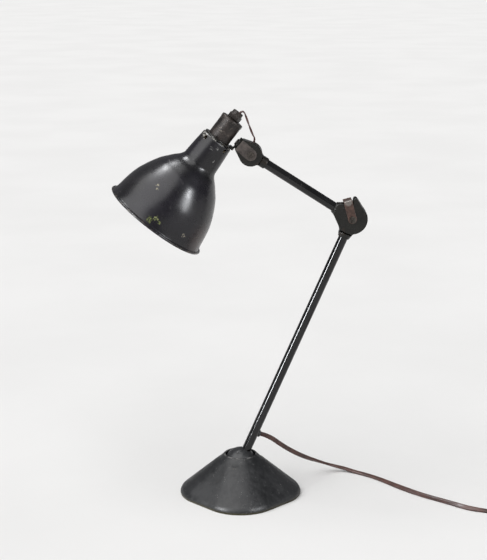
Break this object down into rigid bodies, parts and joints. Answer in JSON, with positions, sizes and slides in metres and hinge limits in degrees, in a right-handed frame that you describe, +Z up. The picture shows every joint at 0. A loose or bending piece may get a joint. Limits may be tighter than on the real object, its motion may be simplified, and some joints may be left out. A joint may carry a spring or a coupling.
{
  "type": "desk lamp",
  "caption": "Adjustable black desk lamp: ball-jointed arm on a cast pyramid base, elbow, tilting and turning bell shade with bayonet lampholder, brown flex and plug.",
  "frame": {"origin": "middle of the felt's underside, on the surface that the lamp stands on", "axes": "+Z up; the arms stand in the XZ plane, leaning toward +X from the base, with the shade toward -X; -Y is the front"},
  "size_m": [0.6223, 0.188, 0.5354],
  "materials": {
    "base_paint": "satin black paint on cast iron, chipped",
    "ball_paint": "satin black paint on a cast ball",
    "arm_paint": "gloss black paint on steel tube",
    "joint_paint": "worn black paint on cast joints",
    "shade_enamel": "gloss black enamel, chipped",
    "felt": "olive baize",
    "zinc_steel": "dull plated steel",
    "spring_steel": "oiled spring steel",
    "raw_iron": "machined iron",
    "fibre": "red vulcanised fibre",
    "dark_screw": "blackened steel",
    "strap_bronze": "brown oxidised steel strip",
    "plate_brown": "bare brown plate",
    "holder_brass": "dark brown bronzed brass",
    "brass_parts": "plain brass",
    "bakelite": "dark moulded insulation",
    "black_rubber": "black rubber",
    "cord_brown": "brown flat twin flex",
    "lead_brown": "dark red-brown thin twin flex",
    "plug_shell": "dark moulded plastic",
    "plug_rubber": "dark rubber sleeve"
  },
  "bodies": {
    "base": {"base_casting": "base_paint", "base_felt": "felt", "bridge_plate": "zinc_steel", "bridge_screws": "zinc_steel", "cup_spring": "spring_steel"},
    "swivel": {"pressure_cup": "raw_iron", "mains_cord": "cord_brown", "mains_coil": "cord_brown", "mains_tail": "cord_brown", "plug_cover": "plug_shell", "plug_face": "plug_shell", "plug_pins": "brass_parts", "plug_screw": "zinc_steel", "plug_sleeve": "plug_rubber"},
    "lower_arm": {"ball": "ball_paint", "lower_tube": "arm_paint", "cord_grommet": "black_rubber", "lower_flex": "cord_brown", "lower_knuckle": "joint_paint"},
    "upper_arm": {"upper_fork": "joint_paint", "elbow_washers": "fibre", "elbow_screw": "dark_screw", "elbow_nut": "dark_screw", "elbow_strap": "strap_bronze", "upper_tube": "arm_paint", "upper_flex": "cord_brown", "head_tongue": "joint_paint"},
    "head": {"head_block": "joint_paint", "head_washers": "fibre", "head_screw": "dark_screw", "head_nut": "dark_screw", "blank_plate": "plate_brown", "swivel_stem": "dark_screw"},
    "shade": {"shade_carrier": "joint_paint", "shade_shell": "shade_enamel", "shade_clamp_ring": "bakelite", "lampholder_barrel": "holder_brass", "lampholder_cap": "holder_brass", "cord_gland": "holder_brass", "barrel_screw": "brass_parts", "insulator": "bakelite", "contact_spring_front": "spring_steel", "contact_spring_back": "spring_steel", "terminal_screws": "brass_parts", "head_lead": "lead_brown"},
    "contact_front": {"contact_plunger_front": "brass_parts"},
    "contact_back": {"contact_plunger_back": "brass_parts"}
  },
  "joints": [
    {"name": "arm_swivel", "type": "hinge", "parent": "base", "child": "swivel", "pos_m": [0, 0, 0.044], "axis": [0, 0, 1], "range_deg": [-180, 180]},
    {"name": "arm_tilt", "type": "hinge", "parent": "swivel", "child": "lower_arm", "pos_m": [0, 0, 0.044], "axis": [0, 1, 0], "range_deg": [-63, 16.5], "deforming": ["mains_cord"]},
    {"name": "elbow", "type": "hinge", "parent": "lower_arm", "child": "upper_arm", "pos_m": [0.1488, 0, 0.38952], "axis": [0, 1, 0], "range_deg": [-42, 80]},
    {"name": "head_tilt", "type": "hinge", "parent": "upper_arm", "child": "head", "pos_m": [0.01361, 0, 0.47565], "axis": [0, 1, 0], "range_deg": [-62, 50]},
    {"name": "shade_turn", "type": "hinge", "parent": "head", "child": "shade", "pos_m": [0.01361, 0, 0.47565], "axis": [-0.7501, 0, 0.6613], "range_deg": [-90, 90], "deforming": ["head_lead"]},
    {"name": "contact_front_travel", "type": "slide", "parent": "shade", "child": "contact_front", "axis": [0.6088, 0, 0.7934], "range_m": [0, 0.003], "stiffness_N_per_m": 500, "springref_m": -0.001, "deforming": ["contact_spring_front"]},
    {"name": "contact_back_travel", "type": "slide", "parent": "shade", "child": "contact_back", "axis": [0.6088, 0, 0.7934], "range_m": [0, 0.003], "stiffness_N_per_m": 500, "springref_m": -0.001, "deforming": ["contact_spring_back"]}
  ]
}
